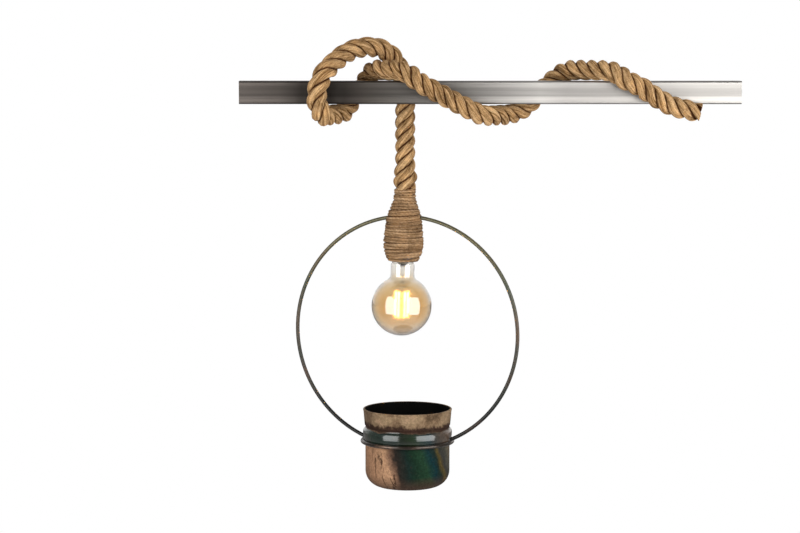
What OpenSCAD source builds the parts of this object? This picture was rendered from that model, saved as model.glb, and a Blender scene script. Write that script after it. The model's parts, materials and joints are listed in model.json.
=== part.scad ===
// Rope pendant lamp with a planter ring, hitched round a square steel rail.
// Millimetres. The origin is the middle of the rail's left end face.
// +X runs along the rail, +Y points to the side where the rope drops, +Z is up.

/* [Rail] */
// Length of the square rail
rail_len = 656; // [620:1:900]
// Outer width of the rail's square section
rail_w = 30; // [24:1:30]
// Wall of the rail's tube
rail_wall = 2; // [1.5:0.5:4]
// Outer corner radius of the rail
rail_corner = 2.5; // [1:0.5:4]
// How far an end plug reaches into the rail
plug_depth = 18; // [8:1:40]
// Wall of an end plug
plug_wall = 2; // [1:0.5:4]

/* [Rope] */
// Outer diameter of the laid jute rope
rope_d = 27; // [20:0.5:27]
// Diameter of the mains cable in the rope's heart
cable_d = 5; // [4:0.5:6]
// Rope that hangs between the underside of the rail and the jute binding
drop_len = 111; // [95:1:300]
// Depth of the fore and aft swing's centre below the rail
swing_y_drop = 17; // [16:1:24]
// Distance between the two swing centres
swing_gap = 32; // [30:1:50]
// Length of the whipped rope end inside the binding
rope_tail = 16; // [8:1:30]
// Diameter of the whipped rope end
rope_tail_d = 19; // [14:0.2:21]

/* [Binding and lampholder] */
// Thickness of the jute twine binding
twine_t = 4.8; // [3:0.1:6]
// Outer diameter of the lampholder
holder_d = 40; // [39:0.2:46]
// Lean of the lampholder and bulb from the rope's axis
holder_lean = 1.7; // [0:0.1:3]
// How much the binding's belly stands out past one layer of twine
belly_out = 1.8; // [0:0.1:4]
// Wall of the lampholder's shells
holder_wall = 2; // [1.5:0.1:2.4]
// Height of the lampholder's upper cap
cap_h = 14; // [12:0.5:20]
// Height of the lampholder's lower skirt
skirt_h = 40; // [38:0.5:46]
// Diameter of the skirt's mouth
mouth_d = 33.2; // [32.6:0.1:35]
// Outer diameter of the threaded nipple
nipple_d = 10; // [9:0.5:12]
// Bore of the threaded nipple
nipple_bore = 6.6; // [6.4:0.1:7.4]
// Width across the flats of the lock nut
nut_af = 14; // [13:0.5:16]
// Height of the lock nut
nut_h = 5; // [3:0.5:7]
// Outer diameter of the cable grip
grip_d = 15; // [14:0.5:18]
// Height of the cable grip
grip_h = 12; // [9:0.5:16]

/* [Ring] */
// Radius of the big ring at the middle of its rod
ring_r = 155; // [120:0.5:190]
// Diameter of the ring's and the hoop's rod
rod_d = 5; // [4:0.5:6]
// Turn of the ring's plane about the rope
ring_yaw = -18.9; // [-45:0.1:45]
// How far the ring hangs to the right of the rope's axis
ring_shift = 1.2; // [0:0.2:3]
// How far the hoop and the pot sit to the right of the ring's middle
hoop_shift = 2.2; // [0:0.2:3]
// Depth of the hoop below the ends of the ring's rod
hoop_drop = 3.5; // [2.6:0.1:3.8]
// Outer diameter of the bush at the ring's top
bush_d = 18; // [16:0.5:22]
// Height of the bush at the ring's top
bush_h = 12; // [9:0.5:16]

/* [Pot] */
// Outer diameter of the pot's body below its bead
pot_d = 112.8; // [90:0.2:130]
// Outer diameter of the pot's rim
pot_rim_d = 119; // [118:0.2:136]
// Wall of the pot
pot_wall = 1.2; // [0.8:0.1:2]
// Height of the pot above the middle of its bead
pot_over = 31.5; // [25:0.5:50]
// Depth of the pot below the middle of its bead
pot_under = 73.5; // [45:0.5:90]
// Radius of the pot's rounded bottom edge
pot_corner = 22; // [12:1:30]
// How far the bead stands out from the body
bead_out = 3.2; // [3:0.1:4]
// Radius of the bead's round upper edge
bead_r = 7; // [5:0.5:10]
// Radius of the bead's long lower flank
bead_low_r = 40; // [15:1:50]
// Gap between the body and the hoop round it
hoop_gap = 1.5; // [1:0.1:2]

/* [Bulb] */
// Diameter of the bulb's globe
globe_d = 80; // [60:1:95]
// Diameter of the bulb's neck
neck_d = 31.6; // [30:0.2:32]
// Distance from the skirt's mouth to the middle of the globe
globe_drop = 59.4; // [50:0.2:75]
// Radius of the fillet between neck and globe
neck_fillet = 9; // [5:0.5:14]
// Thickness of the bulb's glass
glass_t = 0.8; // [0.6:0.1:1.2]
// Diameter over the bulb cap's thread
thread_d = 26.4; // [26:0.1:26.6]
// Depth of the bulb cap's thread
thread_depth = 0.8; // [0.5:0.1:1]
// Pitch of the bulb cap's thread
thread_pitch = 3.6; // [3:0.1:4]
// Height of the bulb cap's threaded shell
shell_h = 21; // [18:0.5:23]
// Number of light strips in the bulb
filament_count = 6; // [4:1:8]
// Length of one light strip
filament_len = 34; // [20:1:38]

/* [Hidden] */
$fn = 96;
eps = 0.01;
over = 1;           // how far a cut runs past the face that it opens

// Clearances
fit_gap = 0.1;      // between parts that seat in each other
body_gap = 0.3;     // between parts that move past each other
rope_gap = 0.5;     // between the hanging rope and the rail

// Rope and swing centres
lamp_x = 217;       // where the route over the rail starts
lamp_y = rail_w / 2 + rope_d / 2 + rope_gap;
rope_r = rope_d / 2;
cable_r = cable_d / 2;
core_r = cable_r + fit_gap;
swing_y_z = -rail_w / 2 - swing_y_drop;
swing_x_z = swing_y_z - swing_gap;
rope_end_top = swing_y_z + rope_r + body_gap;
link_end_z = swing_x_z + rope_r + body_gap;
sleeve_t = 0.3;     // sleeve that the cable loses under the binding
joint_in = 2;       // overlap of the straight and the leaning lengths
cable_sink = 0.4;   // how far a cable stops short of the rope's round top

// Heights down the lampholder, each from the one above
binding_z = -rail_w / 2 - drop_len;
rope_end_z = binding_z - rope_tail;
grip_z = rope_end_z - body_gap;
nut_z = grip_z - grip_h;
bush_z = nut_z - nut_h;
cap_z = bush_z - bush_h;
skirt_z = cap_z - cap_h;
mouth_z = skirt_z - skirt_h;
ring_top_z = bush_z - bush_h / 2;
ring_z = ring_top_z - ring_r;
nipple_in = 3;      // nipple inside the cable grip
nipple_out = 8;     // nipple below the top of the holder cap
nipple_top = nut_z + nipple_in;
nipple_low = cap_z - nipple_out;
cable_end_z = nipple_low - 1;
grip_taper = 0.3;   // share of the cable grip's height and width in its taper

// Lampholder
holder_r = holder_d / 2;
cap_round = 9;      // radius of the cap's shoulder
lip_t = 2;          // thickness of the skirt's lower lip
lip_round = 5;      // radius of the skirt's lower outer edge
insulator_r = holder_r - holder_wall - fit_gap;
insulator_z = skirt_z - body_gap;
insulator_floor = 8;
floor_z = insulator_z - insulator_floor;
shell_t = 0.5;
shell_r = thread_d / 2 + body_gap + shell_t;
flange_r = 9;       // hole in the socket shell's top flange
contact_w = 6;
contact_drop = 2.6;
block = [6, 6, 6];  // one brass terminal block
block_x = 10;
block_hole = 1.4;   // radius of the block's screw hole
screw_r = block_hole - 0.05;
screw_head_r = 2.4;
screw_head_h = 1.8;
screw_low = 2;      // height of the screw's foot over the block's underside
slot_w = 0.8;       // width and depth of the screw's slot
wire_r = 1;
wire_drop = 2;      // depth of a conductor's run below the cable's end

// Ring, hoop and pot
rod_r = rod_d / 2;
pot_r = pot_d / 2;
hoop_r = pot_r + hoop_gap + rod_r;
ring_foot_left = acos((hoop_r - hoop_shift) / ring_r);
ring_foot_right = acos((hoop_r + hoop_shift) / ring_r);
hoop_z = ring_z - ring_r * (sin(ring_foot_left) + sin(ring_foot_right)) / 2 - hoop_drop;
weld_in = 0.6;      // how far the ring's rod is sunk into its bush
bush_side = ring_shift + (binding_z - ring_top_z) * sin(holder_lean);
bush_left = asin((bush_d / 2 - weld_in + bush_side) / ring_r);
bush_right = asin((bush_d / 2 - weld_in - bush_side) / ring_r);
bead_mid_r = pot_r + bead_out - bead_r;
bead_low_mid_r = pot_r + bead_out - bead_low_r;
seat_gap = 0.1;
bead_z = hoop_z + sqrt(pow(bead_low_r + rod_r + seat_gap, 2) - pow(hoop_r - bead_low_mid_r, 2));
pot_bottom = bead_z - pot_under;
pot_top = bead_z + pot_over;
bead_top_angle = acos((pot_r - bead_mid_r) / bead_r);
bead_low_angle = acos((pot_r - bead_low_mid_r) / bead_low_r);
groove_over = 1.6;  // height of the groove's middle over the top of the bead
groove_z = bead_z + bead_r * sin(bead_top_angle) + groove_over;
groove_in = 0.4;    // depth of the groove below the body's face
groove_low = 0.6;   // how far the groove runs below its middle
groove_high = 0.4;  // how far the groove runs above its middle
band_low = 2.6;     // height of the upper band's foot over the groove's middle
band_out = 0.9;     // how far the band's foot stands out from the body
band_r = pot_r + band_out;
rim_roll = 1.2;     // radius of the rolled rim

// Bulb
globe_r = globe_d / 2;
neck_r = neck_d / 2;
globe_z = mouth_z - globe_drop;
seat_in = 2;        // glass ends this far inside the mouth
glass_top = mouth_z + seat_in;
glass_top_r = thread_d / 2 - thread_depth;
neck_round_z = globe_z + sqrt(pow(globe_r + neck_fillet, 2) - pow(neck_r + neck_fillet, 2));
shoulder_z = glass_top - 6;   // where the neck reaches its full width
shell_plain = 1.5;  // plain shell below and above the thread
shell_round = 1;    // how far the shell draws in at its top
cap_shell_top = glass_top + shell_h;
tip_h = 3;          // height of the bulb's black insulator
tip_r = 8;
contact_h = 1.6;
contact_r = 4.5;
contact_dome = 8;   // radius of the contact's domed top
stem_r = 3.4;
stem_len = 30;
flare_rim = 1;      // thickness of the flare where it meets the glass
flare_h = 11;       // height of the flare below that rim
flare_r = glass_top_r - glass_t - fit_gap;
filament_r = 0.9;
filament_ring = 8;  // radius of the circle of light strips
hub_t = 0.8;
hub_z = globe_z + 20;  // top of the upper hub
lead_r = 0.5;
lead_x = 1.8;

// Route of the rope over the rail, from the drop to its cut end
rope_route = [
    [217, 29, rope_end_top], [217, 29, -2], [213, 29, 15], [209, 29, 31], [201, 29, 45],
    [186, 25, 56], [167, 16, 59], [148, 6, 55], [131, -8, 45], [117, -20, 32],
    [111, -26, 25], [107, -29, 17], [103, -30, 4], [102, -30, -9], [104, -29, -17],
    [107, -26, -25], [110, -18, -30], [115, -6, -30], [128, 12, -29], [134, 20, -28],
    [139, 26, -24], [143, 29, -17], [148, 30, -8], [155, 30, 1], [162, 30, 9],
    [167, 29, 17], [172, 25, 25], [178, 17, 29], [184, 9, 29], [190, 2, 29],
    [198, -7, 29], [208, -15, 29], [216, -22, 27], [224, -27, 23], [231, -30, 17],
    [238, -30, 12], [249, -30, 6], [271, -30, -6], [292, -30, -17], [304, -29, -23],
    [314, -25, -28], [325, -15, -30], [338, 0, -30], [351, 13, -30], [360, 20, -28],
    [368, 25, -25], [377, 29, -19], [386, 30, -10], [396, 30, 0], [406, 30, 9],
    [415, 29, 17], [424, 26, 24], [432, 20, 28], [443, 10, 29], [456, 0, 29],
    [470, -10, 29], [484, -20, 28], [495, -27, 23], [504, -30, 16], [522, -30, 8],
    [543, -30, -6], [564, -30, -17], [584, -30, -22], [600, -30, -26]];
rope_sides = 12;
cable_sides = 8;

// ---- swept tubes -------------------------------------------------------------

function unit(v) = v / norm(v);

// Direction of a route at point i
function heading(p, i) = unit(p[min(i + 1, len(p) - 1)] - p[max(i - 1, 0)]);

// A side vector at each point, carried along the route without twisting
function sides_of(p) = [
    for (i = 0, u = unit(cross(heading(p, 0), [1, 0.3, 0.2]));
         i < len(p);
         i = i + 1, u = i < len(p) ? unit(u - (u * heading(p, i)) * heading(p, i)) : u) u];

function ring_points(c, t, u, r, n) = let(v = cross(t, u)) [
    for (k = [0:n - 1]) c + r * cos(360 * k / n) * u + r * sin(360 * k / n) * v];

function tube_points(p, r, n) = let(u = sides_of(p)) [
    for (i = [0:len(p) - 1]) each ring_points(p[i], heading(p, i), u[i], r, n)];

// A full tube swept along a route
module solid_tube(p, r, n) {
    m = len(p);
    wall = [for (i = [0:m - 2]) for (k = [0:n - 1])
        [i * n + k, (i + 1) * n + k, (i + 1) * n + (k + 1) % n, i * n + (k + 1) % n]];
    start = [[for (k = [0:n - 1]) k]];
    end = [[for (k = [n - 1:-1:0]) (m - 1) * n + k]];
    polyhedron(tube_points(p, r, n), concat(wall, start, end), convexity = 10);
}

// A tube with an open heart swept along a route
module hollow_tube(p, r, r_in, n) {
    m = len(p);
    q = m * n;
    outer = [for (i = [0:m - 2]) for (k = [0:n - 1])
        [i * n + k, (i + 1) * n + k, (i + 1) * n + (k + 1) % n, i * n + (k + 1) % n]];
    inner = [for (i = [0:m - 2]) for (k = [0:n - 1])
        [q + i * n + (k + 1) % n, q + (i + 1) * n + (k + 1) % n, q + (i + 1) * n + k, q + i * n + k]];
    start = [for (k = [0:n - 1]) [k, (k + 1) % n, q + (k + 1) % n, q + k]];
    e = (m - 1) * n;
    end = [for (k = [0:n - 1]) [e + k, q + e + k, q + e + (k + 1) % n, e + (k + 1) % n]];
    polyhedron(concat(tube_points(p, r, n), tube_points(p, r_in, n)),
               concat(outer, inner, start, end), convexity = 10);
}

// ---- shared shapes -----------------------------------------------------------

// Points of an arc round c
function arc(c, r, a0, a1, steps) = [
    for (i = [0:steps]) let(a = a0 + (a1 - a0) * i / steps) c + r * [cos(a), sin(a)]];

module rounded_square(w, r) {
    square([w - 2 * r, w], center = true);
    square([w, w - 2 * r], center = true);
    for (sx = [-1, 1], sy = [-1, 1])
        translate([sx * (w / 2 - r), sy * (w / 2 - r)]) circle(r);
}

// Puts children on the hanging rope's axis
module on_axis(z = 0) {
    translate([lamp_x, lamp_y, z]) children();
}

// Puts children on the lampholder's own leaning axis, at height z
module in_holder(z = 0) {
    on_axis(binding_z) rotate([0, holder_lean, 0]) translate([0, 0, z - binding_z]) children();
}

// Puts children on the axis of the ring, at height z
module in_ring(z = 0) {
    on_axis(z) rotate([0, 0, ring_yaw]) translate([ring_shift, 0, 0]) children();
}

// Puts children on the axis of the hoop and the pot, at height z
module in_hoop(z = 0) {
    in_ring(z) translate([hoop_shift, 0, 0]) children();
}

module pipe(r_out, r_in, h) {
    difference() {
        cylinder(r = r_out, h = h);
        translate([0, 0, -over]) cylinder(r = r_in, h = h + 2 * over);
    }
}

// ---- rail --------------------------------------------------------------------

module along_rail(x, length) {
    translate([x, 0, 0]) rotate([90, 0, 90]) linear_extrude(length) children();
}

module support_rail() color("dimgray") {
    difference() {
        along_rail(0, rail_len) rounded_square(rail_w, rail_corner);
        along_rail(-over, rail_len + 2 * over)
            rounded_square(rail_w - 2 * rail_wall, rail_corner / 2);
    }
}

module end_plug() {
    plug_w = rail_w - 2 * rail_wall - 2 * fit_gap;
    difference() {
        along_rail(0, plug_depth) rounded_square(plug_w, rail_corner / 2 - fit_gap);
        along_rail(plug_wall, plug_depth)
            rounded_square(plug_w - 2 * plug_wall, rail_corner / 4);
    }
}

module end_plug_left() color("black") end_plug();

module end_plug_right() color("black") translate([rail_len, 0, 0]) mirror([1, 0, 0]) end_plug();

// ---- rope and mains cable ----------------------------------------------------

module rope_on_rail() color("tan") hollow_tube(rope_route, rope_r, core_r, rope_sides);

module cable_on_rail() color("saddlebrown") solid_tube(rope_route, cable_r, cable_sides);

// A straight length of rope whose round top turns on a swing centre
module rope_length(top_z, low_z) {
    on_axis(low_z) cylinder(r = rope_r, h = top_z - low_z);
    on_axis(top_z) sphere(rope_r);
}

module rope_link() color("tan") difference() {
    rope_length(swing_y_z, link_end_z);
    on_axis(link_end_z - over) cylinder(r = core_r, h = swing_y_z + rope_r + 2 * over - link_end_z);
}

module cable_link() color("saddlebrown")
    on_axis(link_end_z) cylinder(r = cable_r, h = swing_y_z + rope_r - cable_sink - link_end_z);

// The whipped end leans with the lampholder
module rope_drop() color("tan") difference() {
    union() {
        rope_length(swing_x_z, binding_z);
        in_holder(rope_end_z) cylinder(d = rope_tail_d, h = rope_tail + joint_in);
    }
    on_axis(binding_z - joint_in) cylinder(r = core_r, h = swing_x_z + rope_r + 2 * joint_in - binding_z);
    in_holder(rope_end_z - over) cylinder(r = core_r + sleeve_t, h = rope_tail + joint_in + over);
}

module cable_drop() color("saddlebrown") {
    top = swing_x_z + rope_r - cable_sink;
    on_axis(binding_z - over) cylinder(r = cable_r, h = top - binding_z + over);
    in_holder(cable_end_z) cylinder(r = cable_r - sleeve_t, h = binding_z - cable_end_z + over);
}

// ---- binding -----------------------------------------------------------------

// Outer outline of the wound twine: neck, shoulder, belly and tucked-in foot
binding_neck_r = rope_tail_d / 2 + twine_t;
binding_belly_r = holder_r + twine_t + belly_out;
binding_top = binding_z - body_gap - rope_r * sin(holder_lean);
binding_belly_z = cap_z - cap_round;
foot_in = 3.4;      // twine past the skirt's mouth
foot_h = 18;        // height over which the binding draws in to the mouth
bush_clear = 0.6;   // room between the bush and the twine
binding_foot_z = mouth_z + foot_h;
binding_foot_r = mouth_d / 2 + foot_in;
function smooth(w) = (1 - cos(180 * w)) / 2;
binding_outer = concat(
    [[binding_neck_r, binding_top]],
    [for (i = [0:10]) [binding_neck_r + (binding_belly_r - binding_neck_r) * smooth(i / 10),
                       rope_end_z + (binding_belly_z - rope_end_z) * i / 10]],
    [for (i = [0:8]) [binding_belly_r - (binding_belly_r - binding_foot_r) * pow(i / 8, 1.5),
                      binding_foot_z + (mouth_z - binding_foot_z) * i / 8]]);

// Outline of what the twine is wound on, from the skirt's foot up to the rope
binding_inner = concat(
    arc([holder_r - lip_round, mouth_z + lip_round], lip_round + fit_gap, -80, 0, 8),
    arc([holder_r - cap_round, cap_z - cap_round], cap_round + fit_gap, 0, 70, 8),
    [[bush_d / 2 + bush_clear, cap_z + over], [bush_d / 2 + bush_clear, nut_z + over],
     [rope_tail_d / 2 + fit_gap, rope_end_z], [rope_tail_d / 2 + fit_gap, binding_top]]);

module jute_binding() color("peru") difference() {
    in_holder() rotate_extrude() polygon(concat(binding_outer, binding_inner));
    in_ring(ring_z) ring_rod(rod_r + fit_gap, 90 - 4 * bush_left, 90 + 4 * bush_left);
}

// ---- cable grip, nipple and nut ----------------------------------------------

module cable_grip() color("black") in_holder(nut_z) difference() {
    straight_h = grip_h * (1 - grip_taper);
    union() {
        cylinder(d = grip_d, h = straight_h);
        translate([0, 0, straight_h])
            cylinder(d1 = grip_d, d2 = grip_d * (1 - grip_taper), h = grip_h - straight_h);
    }
    translate([0, 0, -over]) cylinder(r = core_r, h = grip_h + 2 * over);
    translate([0, 0, -over]) cylinder(d = nipple_d + 2 * fit_gap, h = nipple_in + over + fit_gap);
}

module lock_nut() color("goldenrod") in_holder(bush_z) difference() {
    cylinder(d = nut_af / cos(30), h = nut_h, $fn = 6);
    translate([0, 0, -over]) cylinder(d = nipple_d + 2 * fit_gap, h = nut_h + 2 * over);
}

module threaded_nipple() color("goldenrod")
    in_holder(nipple_low) pipe(nipple_d / 2, nipple_bore / 2, nipple_top - nipple_low);

// ---- ring and hoop -----------------------------------------------------------

// Part of the big ring's rod, between two angles of its own plane
module ring_rod(r, a0, a1) {
    rotate([90, 0, 0]) rotate([0, 0, a0])
        rotate_extrude(angle = a1 - a0) translate([ring_r, 0]) circle(r);
}

module ring_bush() color("darkkhaki")
    in_holder(cap_z) pipe(bush_d / 2, nipple_d / 2 + fit_gap, bush_h);

module planter_ring() color("darkkhaki") in_ring(ring_z) {
    ring_rod(rod_r, -ring_foot_right, 90 - bush_right);
    ring_rod(rod_r, 90 + bush_left, 180 + ring_foot_left);
}

module pot_hoop() color("darkslategray")
    in_hoop(hoop_z) rotate_extrude() translate([hoop_r, 0]) circle(rod_r);

// ---- lampholder --------------------------------------------------------------

module holder_cap() color("black") in_holder() {
    mid = [holder_r - cap_round, cap_z - cap_round];
    rotate_extrude() polygon(concat(
        [[nipple_d / 2 + fit_gap, cap_z]],
        arc(mid, cap_round, 90, 0, 16),
        [[holder_r, skirt_z], [holder_r - holder_wall, skirt_z]],
        arc(mid, cap_round - holder_wall, 0, 90, 16),
        [[nipple_d / 2 + fit_gap, cap_z - holder_wall]]));
}

module holder_skirt() color("black") in_holder() {
    in_r = holder_r - holder_wall;
    rotate_extrude() polygon(concat(
        [[in_r, skirt_z], [holder_r, skirt_z]],
        arc([holder_r - lip_round, mouth_z + lip_round], lip_round, 0, -90, 12),
        [[mouth_d / 2, mouth_z], [mouth_d / 2, mouth_z + lip_t], [in_r, mouth_z + lip_t]]));
}

module holder_insulator() color("ivory") in_holder() {
    low = mouth_z + lip_t;
    hole_r = shell_r + fit_gap;
    difference() {
        translate([0, 0, low]) cylinder(r = insulator_r, h = insulator_z - low);
        translate([0, 0, low - over]) cylinder(r = hole_r, h = floor_z - low + over);
        translate([0, 0, floor_z - over]) cylinder(r = wire_r, h = insulator_floor + 2 * over);
    }
}

module socket_shell() color("gold") in_holder() {
    low = mouth_z + lip_t + fit_gap;
    difference() {
        translate([0, 0, low]) cylinder(r = shell_r, h = floor_z - low);
        translate([0, 0, low - over]) cylinder(r = shell_r - shell_t, h = floor_z - low + over - shell_t);
        translate([0, 0, floor_z - over]) cylinder(r = flange_r, h = 2 * over);
    }
}

module centre_contact() color("gold") in_holder() {
    t = shell_t;
    translate([0, contact_w / 2, 0]) rotate([90, 0, 0]) linear_extrude(contact_w) polygon([
        [-6, floor_z], [5, floor_z], [6, floor_z - t], [3, floor_z - contact_drop],
        [-2, floor_z - contact_drop], [-2, floor_z - contact_drop + t],
        [2.6, floor_z - contact_drop + t], [4.4, floor_z - t], [-6, floor_z - t]]);
}

module at_terminals() {
    for (s = [-1, 1]) in_holder(insulator_z) translate([s * block_x, 0, 0]) children();
}

module terminal_blocks() color("gold") at_terminals() difference() {
    translate([-block[0] / 2, -block[1] / 2, 0]) cube(block);
    translate([0, 0, over]) cylinder(r = block_hole, h = block[2]);
}

module terminal_screws() color("silver") at_terminals() difference() {
    union() {
        translate([0, 0, screw_low]) cylinder(r = screw_r, h = block[2] - screw_low + eps);
        translate([0, 0, block[2]]) cylinder(r = screw_head_r, h = screw_head_h);
    }
    translate([-screw_head_r, -slot_w / 2, block[2] + screw_head_h - slot_w])
        cube([2 * screw_head_r, slot_w, over]);
}

// Conductor from the cable's end to one terminal block
function wire_route(s) = [
    [s * 1.4, 0, cable_end_z], [s * 1.4, 0, cable_end_z - 0.5], [s * 2.4, 0, cable_end_z - 1.4],
    [s * 3.8, 0, cable_end_z - wire_drop], [s * (block_x - block[0] / 2), 0, cable_end_z - wire_drop]];

module conductor(s) {
    in_holder() solid_tube(wire_route(s), wire_r, cable_sides);
}

module live_wire() color("brown") conductor(-1);

module neutral_wire() color("blue") conductor(1);

// ---- bulb --------------------------------------------------------------------

// Outline of the glass from its bottom to its cap, at depth t below its surface
function glass_line(t) = let(a = acos((neck_r + neck_fillet) / (globe_r + neck_fillet))) concat(
    arc([0, globe_z], globe_r - t, -90, a, 40),
    arc([neck_r + neck_fillet, neck_round_z], neck_fillet + t, 180 + a, 180, 12),
    [for (i = [0:6]) let(w = (1 - cos(180 * i / 6)) / 2)
        [neck_r - t + (glass_top_r - neck_r) * w, shoulder_z + (glass_top - shoulder_z) * i / 6]]);

function reversed(p) = [for (i = [len(p) - 1:-1:0]) p[i]];

module bulb_glass() color("orange", 0.35) in_holder()
    rotate_extrude() polygon(concat(glass_line(0), reversed(glass_line(glass_t))));

module bulb_stem() color("lightcyan") in_holder() rotate_extrude() polygon(concat(
    [[0, glass_top], [flare_r, glass_top], [flare_r, glass_top - flare_rim]],
    [for (i = [0:8]) let(w = i / 8)
        [stem_r + (flare_r - stem_r) * pow(1 - w, 2), glass_top - flare_rim - flare_h * w]],
    [[stem_r, glass_top - stem_len], [0, glass_top - stem_len - stem_r / 2]]));

// Two wires from the stem's foot down to the upper hub of the light strips
module bulb_leads() color("silver") {
    low = hub_z;
    top = glass_top - stem_len - (stem_r - lead_x + lead_r) / 2;
    for (s = [-1, 1]) in_holder() translate([s * lead_x, 0, low]) cylinder(r = lead_r, h = top - low);
}

module filament_hubs() color("silver") in_holder() {
    translate([0, 0, hub_z - hub_t]) cylinder(r = filament_ring + filament_r, h = hub_t);
    translate([0, 0, hub_z - 2 * hub_t - filament_len])
        cylinder(r = filament_ring + filament_r, h = hub_t);
}

module bulb_filaments() color("khaki") in_holder(hub_z - hub_t - filament_len)
    for (i = [0:filament_count - 1]) rotate([0, 0, 360 * i / filament_count])
        translate([filament_ring, 0, 0]) cylinder(r = filament_r, h = filament_len);

// The cap's thread is drawn as rings of the thread's pitch and depth
module bulb_cap() color("silver") in_holder() {
    n = floor((shell_h - 2 * shell_plain) / thread_pitch);
    steps = 8;
    low = glass_top + shell_plain;
    crest = thread_d / 2;
    root = crest - thread_depth;
    rotate_extrude() polygon(concat(
        [[root - glass_t, glass_top], [root, glass_top], [root, low]],
        [for (i = [1:n * steps])
            [root + thread_depth * (1 - cos(360 * i / steps)) / 2, low + thread_pitch * i / steps]],
        [[root, cap_shell_top - shell_round], [root - shell_round, cap_shell_top],
         [root - shell_round - glass_t, cap_shell_top],
         [root - glass_t, cap_shell_top - shell_round - glass_t]]));
}

module bulb_insulator() color("black") in_holder(cap_shell_top) difference() {
    cylinder(r1 = glass_top_r - shell_round, r2 = tip_r, h = tip_h);
    translate([0, 0, -over]) cylinder(r = lead_r + fit_gap, h = tip_h + 2 * over);
}

module bulb_contact() color("silver") in_holder(cap_shell_top + tip_h) intersection() {
    cylinder(r = contact_r, h = contact_h);
    translate([0, 0, contact_h - contact_dome]) sphere(contact_dome);
}

// ---- pot ---------------------------------------------------------------------

// Outer outline of the pot from its axis to its rim
pot_line = concat(
    [[0, pot_bottom]],
    arc([pot_r - pot_corner, pot_bottom + pot_corner], pot_corner, -90, 0, 16),
    arc([bead_low_mid_r, bead_z], bead_low_r, -bead_low_angle, 0, 8),
    arc([bead_mid_r, bead_z], bead_r, bead_top_angle / 8, bead_top_angle, 7),
    [[pot_r - groove_in, groove_z - groove_low], [pot_r - groove_in, groove_z + groove_high],
     [band_r, groove_z + band_low]],
    [[pot_rim_d / 2 - rim_roll / 2, pot_top - 3 * rim_roll]],
    arc([pot_rim_d / 2 - rim_roll, pot_top - rim_roll], rim_roll, 0, 90, 6));

// Inner outline of the pot from its rim to its axis
pot_inner_r = pot_r - pot_wall - groove_in;
pot_inside = concat(
    [[pot_rim_d / 2 - rim_roll - pot_wall, pot_top],
     [pot_inner_r + band_out, groove_z + band_low - groove_high], [pot_inner_r, groove_z]],
    arc([pot_r - pot_corner, pot_bottom + pot_corner], pot_corner - pot_wall - groove_in, 0, -90, 16),
    [[0, pot_bottom + pot_wall + groove_in]]);

module plant_pot() color("darkolivegreen") in_hoop()
    rotate_extrude() polygon(concat(pot_line, pot_inside));

// ---- assembly ----------------------------------------------------------------

support_rail();
end_plug_left();
end_plug_right();
rope_on_rail();
cable_on_rail();
rope_link();
cable_link();
rope_drop();
cable_drop();
jute_binding();
cable_grip();
lock_nut();
threaded_nipple();
ring_bush();
planter_ring();
pot_hoop();
holder_cap();
holder_skirt();
holder_insulator();
socket_shell();
centre_contact();
terminal_blocks();
terminal_screws();
live_wire();
neutral_wire();
bulb_glass();
bulb_stem();
bulb_leads();
bulb_filaments();
filament_hubs();
bulb_cap();
bulb_insulator();
bulb_contact();
plant_pot();
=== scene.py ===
"""Looks of the rope pendant lamp with its planter ring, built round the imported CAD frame."""
import json
import math
import random

import bpy
import numpy as np
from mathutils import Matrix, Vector


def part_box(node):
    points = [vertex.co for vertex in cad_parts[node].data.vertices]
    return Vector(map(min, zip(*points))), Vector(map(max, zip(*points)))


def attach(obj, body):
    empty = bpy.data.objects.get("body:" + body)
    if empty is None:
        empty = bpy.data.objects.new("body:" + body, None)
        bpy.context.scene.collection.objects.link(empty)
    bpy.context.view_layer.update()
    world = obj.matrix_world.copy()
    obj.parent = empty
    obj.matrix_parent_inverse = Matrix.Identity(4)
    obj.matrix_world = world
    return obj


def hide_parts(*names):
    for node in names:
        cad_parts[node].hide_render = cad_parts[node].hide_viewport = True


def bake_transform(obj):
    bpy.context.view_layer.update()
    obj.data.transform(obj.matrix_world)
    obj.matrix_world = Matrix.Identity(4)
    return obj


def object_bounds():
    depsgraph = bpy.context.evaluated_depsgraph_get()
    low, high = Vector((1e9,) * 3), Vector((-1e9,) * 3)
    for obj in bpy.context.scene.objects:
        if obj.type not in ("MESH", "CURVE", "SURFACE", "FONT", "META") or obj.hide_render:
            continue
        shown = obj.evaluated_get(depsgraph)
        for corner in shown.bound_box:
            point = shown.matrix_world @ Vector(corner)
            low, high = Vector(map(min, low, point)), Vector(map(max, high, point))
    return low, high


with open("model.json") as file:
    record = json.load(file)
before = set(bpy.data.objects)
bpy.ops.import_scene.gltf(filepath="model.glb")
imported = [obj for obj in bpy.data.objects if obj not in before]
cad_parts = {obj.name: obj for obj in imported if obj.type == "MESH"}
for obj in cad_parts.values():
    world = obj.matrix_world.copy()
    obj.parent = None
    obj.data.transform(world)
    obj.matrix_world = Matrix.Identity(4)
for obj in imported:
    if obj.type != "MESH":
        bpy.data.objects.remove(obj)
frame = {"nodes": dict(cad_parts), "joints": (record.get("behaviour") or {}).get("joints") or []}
cad_low, cad_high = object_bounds()
NODES = frame["nodes"]
MM = 0.001

# ---- places and sizes, from the frame ------------------------------------------------

rail_low, rail_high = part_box("support_rail")
rope_low, rope_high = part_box("rope_link")
pot_low, pot_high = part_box("plant_pot")
hoop_low, hoop_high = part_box("pot_hoop")
glass_low, glass_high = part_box("bulb_glass")

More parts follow.
